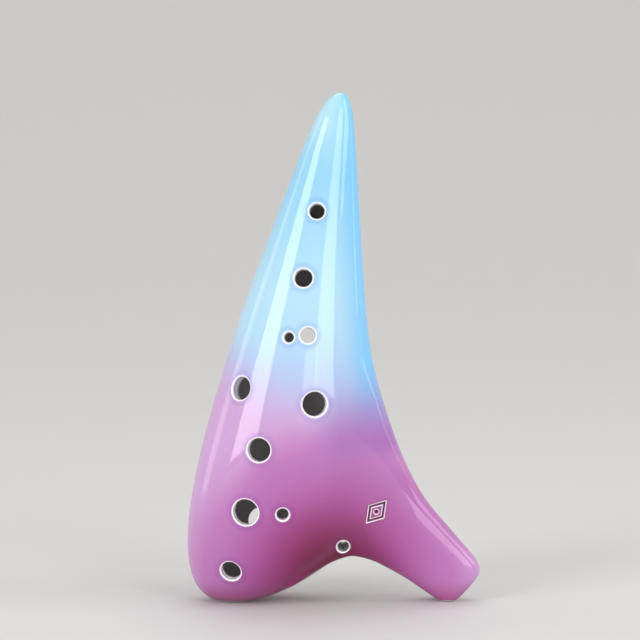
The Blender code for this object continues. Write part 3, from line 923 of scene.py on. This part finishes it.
# The soft boxes: name, azimuth in degrees, height of the centre, width and height, and power.
SOFT_BOXES = [
    ("left_strip", -52, 0.58, (0.60, 1.05), 10.0),
    ("right_strip", 38, 0.57, (0.60, 1.05), 6.8),
    ("right_low_box", 17, 0.12, (0.36, 0.22), 0.63),
    ("high_right_box", 77, 0.94, (0.64, 1.17), 7.0),
    ("far_left_strip", -103, 0.48, (0.30, 0.93), 1.3),
    ("far_right_strip", 112, 0.45, (0.11, 0.69), 0.34),
]

# A lamp overhead that lights the floor and the backdrop: its place, its target, its sizes and power.
OVERHEAD_LAMP = ((0.0, 1.1, 2.3), (0.0, 1.3, 0.0), (2.4, 1.6), 20.0)

# The floor is flat as far out as this, and then turns up with this radius and goes on up a little.
FLOOR_FLAT, FLOOR_RADIUS, FLOOR_RISE = 0.9, 2.6, 1.0
FLOOR_STEPS, FLOOR_SIDES = 12, 64
FLOOR_COLOUR = (0.62, 0.61, 0.60)
FLOOR_ROUGHNESS = 0.6

CAMERA_DISTANCE = 0.9
CAMERA_RISE = math.radians(5)
CAMERA_LENS = 139.7
CAMERA_AIM = (-0.00435, 0.0, 0.10288)


def aim(item, place, target):
    item.location = place
    direction = np.array(target) - np.array(place)
    item.rotation_euler = Vector(direction).to_track_quat("-Z", "Y").to_euler()


def make_camera():
    data = bpy.data.cameras.new("camera")
    data.lens = CAMERA_LENS
    data.clip_start = 0.01
    camera = bpy.data.objects.new("camera", data)
    bpy.context.scene.collection.objects.link(camera)
    back = (0.0, -math.cos(CAMERA_RISE), math.sin(CAMERA_RISE))
    place = [CAMERA_AIM[i] + CAMERA_DISTANCE * back[i] for i in range(3)]
    aim(camera, place, CAMERA_AIM)
    bpy.context.scene.camera = camera


def area_light(name, place, target, size, power):
    data = bpy.data.lights.new(name, "AREA")
    data.shape = "RECTANGLE"
    data.size, data.size_y = size
    data.energy = power
    lamp = bpy.data.objects.new(name, data)
    bpy.context.scene.collection.objects.link(lamp)
    aim(lamp, place, target)
    lamp.visible_camera = False


def soft_box(name, azimuth, centre, size, power):
    """A soft box that stands round the object at this azimuth: 0 is in front and 90 to the right."""
    turn = math.radians(azimuth)
    place = (LIGHT_DISTANCE * math.sin(turn), -LIGHT_DISTANCE * math.cos(turn), centre)
    area_light(name, place, (0.0, 0.0, centre), size, power)


def make_floor():
    """A pale floor that turns up into a backdrop all round."""
    profile = [(0.0, 0.0), (FLOOR_FLAT / 2, 0.0)]
    for i in range(FLOOR_STEPS + 1):
        turn = math.pi / 2 * i / FLOOR_STEPS
        out = FLOOR_FLAT + FLOOR_RADIUS * math.sin(turn)
        profile.append((out, FLOOR_RADIUS * (1 - math.cos(turn))))
    profile.append((FLOOR_FLAT + FLOOR_RADIUS, FLOOR_RADIUS + FLOOR_RISE))
    points, faces = [], []
    for distance, height in profile:
        for i in range(FLOOR_SIDES):
            turn = 2 * math.pi * i / FLOOR_SIDES
            points.append((distance * math.cos(turn), distance * math.sin(turn), height))
    for ring in range(len(profile) - 1):
        for i in range(FLOOR_SIDES):
            a, b = ring * FLOOR_SIDES + i, ring * FLOOR_SIDES + (i + 1) % FLOOR_SIDES
            faces.append((a, b, b + FLOOR_SIDES, a + FLOOR_SIDES))
    mesh = bpy.data.meshes.new("floor")
    mesh.from_pydata(points, [], faces)
    mesh.materials.append(pale_paint())
    mesh.polygons.foreach_set("use_smooth", np.ones(len(mesh.polygons), bool))
    floor = bpy.data.objects.new("floor", mesh)
    bpy.context.scene.collection.objects.link(floor)


def make_studio():
    world = bpy.data.worlds.new("studio")
    world.use_nodes = True
    backdrop = world.node_tree.nodes["Background"]
    backdrop.inputs["Color"].default_value = (1.0, 1.0, 1.0, 1)
    backdrop.inputs["Strength"].default_value = WORLD_STRENGTH
    bpy.context.scene.world = world
    bpy.context.scene.view_settings.view_transform = "Standard"
    for box in SOFT_BOXES:
        soft_box(*box)
    area_light("overhead_lamp", *OVERHEAD_LAMP)
    make_floor()
    make_camera()


def main():
    make_studio()
    clay = make_clay()
    finish = glaze()
    for node, piece in make_members(clay).items():
        dress(piece, finish)
        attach(piece, "root")
        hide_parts(node)


main()
